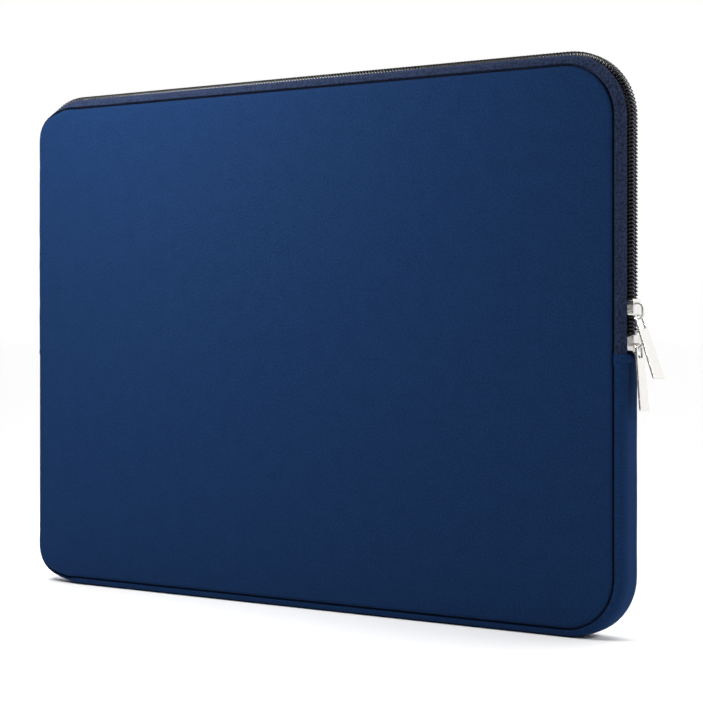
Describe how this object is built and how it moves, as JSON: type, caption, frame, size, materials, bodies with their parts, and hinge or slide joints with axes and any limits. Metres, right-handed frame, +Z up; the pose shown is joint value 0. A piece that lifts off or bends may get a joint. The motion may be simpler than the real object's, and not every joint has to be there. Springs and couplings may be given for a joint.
{
  "type": "laptop sleeve",
  "caption": "Slim padded fabric laptop sleeve that stands on its long edge, closed by a coil zip on three sides with two metal sliders.",
  "frame": {"origin": "middle of the flat strip that the sleeve stands on, at floor height", "axes": "+X along the long side towards the end with the pulls, +Y from the front panel to the back panel, +Z up"},
  "size_m": [0.3624, 0.02, 0.2602],
  "materials": {
    "navy_knit": "fine knitted face cloth, matt",
    "band_fabric": "grey-blue knitted cloth, matt",
    "foam": "soft closed-cell foam",
    "black_lining": "brushed fleece lining",
    "binding_tape": "woven tape",
    "zip_tape": "woven tape",
    "zip_coil": "satin nylon filament",
    "thread": "twisted sewing thread",
    "polished_nickel": "polished nickel plate"
  },
  "bodies": {
    "root": {"back_face_fabric": "navy_knit", "back_foam_pad": "foam", "back_lining": "black_lining", "back_seam_binding": "binding_tape", "front_face_fabric_lower": "navy_knit", "front_foam_pad_lower": "foam", "front_lining_lower": "black_lining", "front_seam_binding_lower": "binding_tape", "gusset_face_fabric": "navy_knit", "gusset_foam": "foam", "gusset_lining": "black_lining", "back_zip_band": "band_fabric", "back_zip_tape": "zip_tape", "back_zip_coil": "zip_coil", "front_zip_band_lower_right": "band_fabric", "front_zip_band_lower_left": "band_fabric", "front_zip_tape_lower_right": "zip_tape", "front_zip_tape_lower_left": "zip_tape", "front_zip_coil_lower_right": "zip_coil", "front_zip_coil_lower_left": "zip_coil", "right_end_tab": "navy_knit", "left_end_tab": "navy_knit", "end_tab_stitches": "thread"},
    "front_flap": {"front_face_fabric_flap": "navy_knit", "front_foam_pad_flap": "foam", "front_lining_flap": "black_lining", "front_seam_binding_flap": "binding_tape", "front_zip_band_flap": "band_fabric", "front_zip_tape_flap": "zip_tape", "front_zip_coil_flap": "zip_coil"},
    "upper_slider": {"upper_slider_body": "polished_nickel", "upper_slider_crown": "polished_nickel"},
    "upper_pull": {"upper_pull_tab": "polished_nickel"},
    "lower_slider": {"lower_slider_body": "polished_nickel", "lower_slider_crown": "polished_nickel"},
    "lower_pull": {"lower_pull_tab": "polished_nickel"}
  },
  "joints": [
    {"name": "front_flap_fold", "type": "hinge", "parent": "root", "child": "front_flap", "pos_m": [0, -0.01, 0.1563], "axis": [1, 0, 0], "range_deg": [0, 80]},
    {"name": "upper_slider_run", "type": "slide", "parent": "root", "child": "upper_slider", "axis": [0, 0, 1], "range_m": [0, 0.079]},
    {"name": "upper_pull_swing", "type": "hinge", "parent": "upper_slider", "child": "upper_pull", "pos_m": [0.17675, 0, 0.14275], "axis": [-0.1045, -0.9945, 0], "range_deg": [0, 130]},
    {"name": "lower_slider_run", "type": "slide", "parent": "root", "child": "lower_slider", "axis": [0, 0, 1], "range_m": [0, 0.0015]},
    {"name": "lower_pull_swing", "type": "hinge", "parent": "lower_slider", "child": "lower_pull", "pos_m": [0.17675, 0, 0.1303], "axis": [0, -1, 0], "range_deg": [0, 22]}
  ]
}
